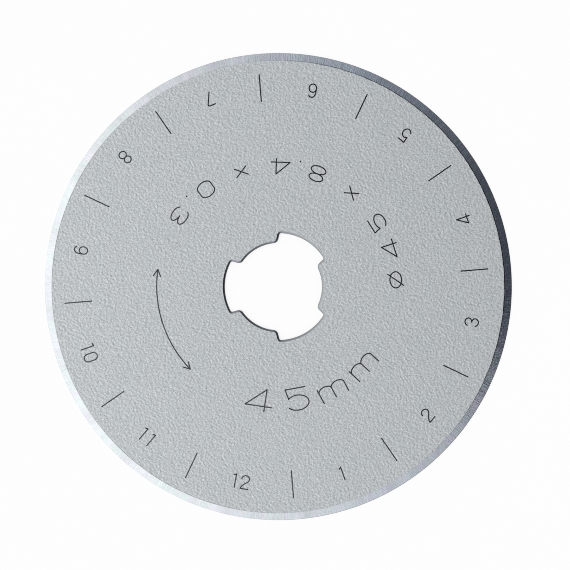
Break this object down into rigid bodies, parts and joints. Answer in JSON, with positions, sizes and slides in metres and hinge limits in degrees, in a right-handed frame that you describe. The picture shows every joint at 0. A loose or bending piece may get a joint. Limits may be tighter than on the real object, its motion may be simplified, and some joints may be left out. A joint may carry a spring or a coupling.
{
  "type": "rotary cutter blade",
  "caption": "Round thin steel blade for a rotary cutter, with a bevelled cutting edge all round, a notched arbor hole and a dark ring of numbered index marks.",
  "frame": {"origin": "on the axis of the arbor hole, halfway through the blade's thickness", "axes": "+Z along the arbor axis, out of the marked face; +X points to the middle of the land between the notches at 60 and 300 degrees, a few degrees clockwise of an index mark; +Y completes the right hand and points to between the numerals 6 and 7"},
  "size_m": [0.045, 0.045, 0.0004],
  "materials": {
    "blade_steel": "hardened tool steel: satin fine-grain faces, ground and honed bright bevel",
    "mark_fill": "matt dark etched deposit"
  },
  "bodies": {
    "root": {"blade": "blade_steel", "scale_ticks": "mark_fill", "scale_numerals": "mark_fill", "size_marks": "mark_fill"}
  },
  "joints": []
}
